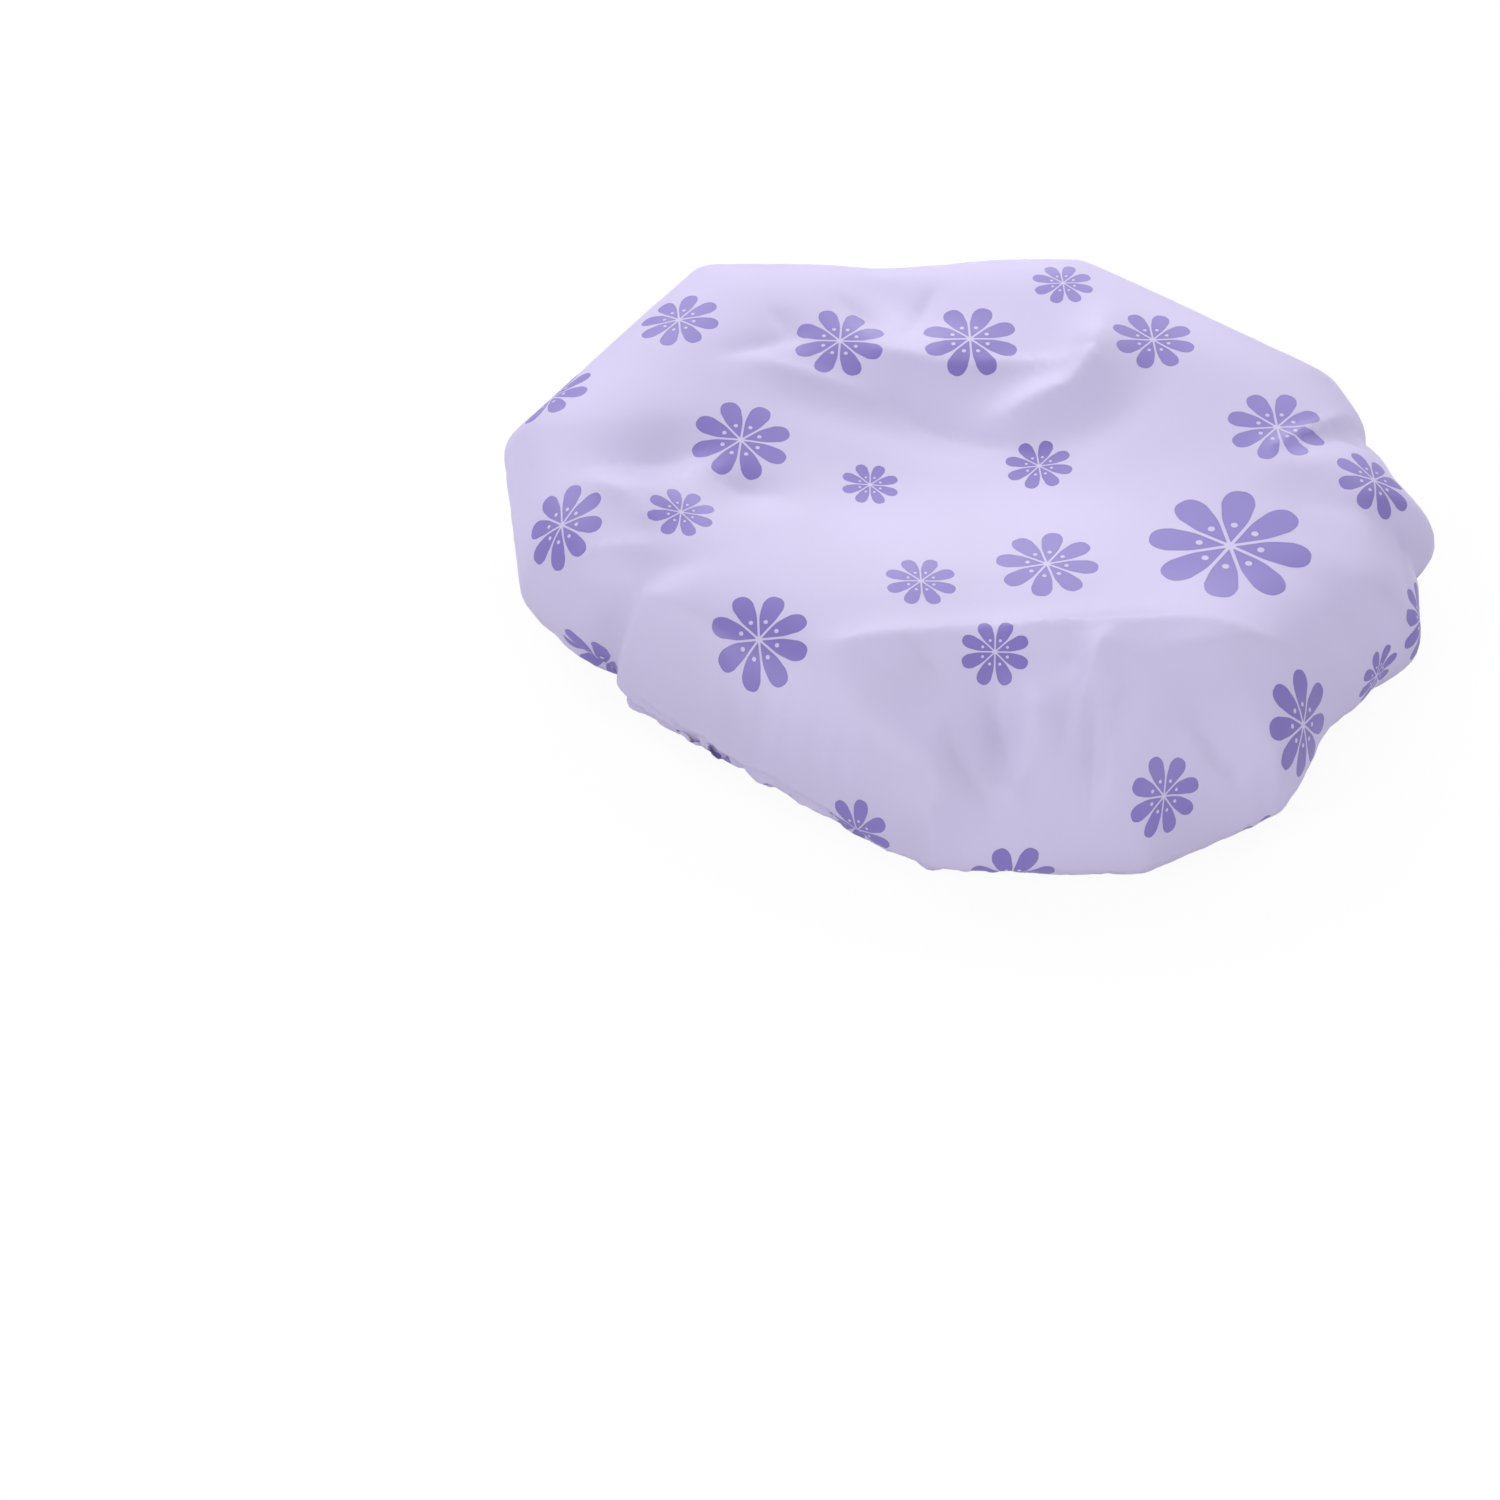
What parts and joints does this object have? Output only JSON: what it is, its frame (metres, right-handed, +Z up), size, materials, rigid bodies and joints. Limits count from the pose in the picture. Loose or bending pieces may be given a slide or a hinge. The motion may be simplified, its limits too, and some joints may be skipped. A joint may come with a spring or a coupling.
{
  "type": "shower cap",
  "caption": "Elasticated shower cap of frosted lavender film with a scattered flower print, lying crown up; its gathered mouth is bound over a flat elastic loop and stretches over the hair.",
  "frame": {"origin": "on the surface that the cap lies on, under the middle of its outline", "axes": "+X is along the longer side of the lying cap, towards the right of the picture; +Y is away from the picture's camera; +Z is up, through the crown"},
  "size_m": [0.2874, 0.231, 0.0564],
  "materials": {
    "film": "milky frosted film with a soft sheen and a printed flower scatter",
    "binding": "plain strip of the same film, gathered",
    "elastic": "white braided flat elastic",
    "thread": "pale sewing thread"
  },
  "bodies": {
    "root": {"crown_film": "film", "hem_binding": "binding", "elastic_band": "elastic", "elastic_tack": "thread"}
  },
  "joints": []
}
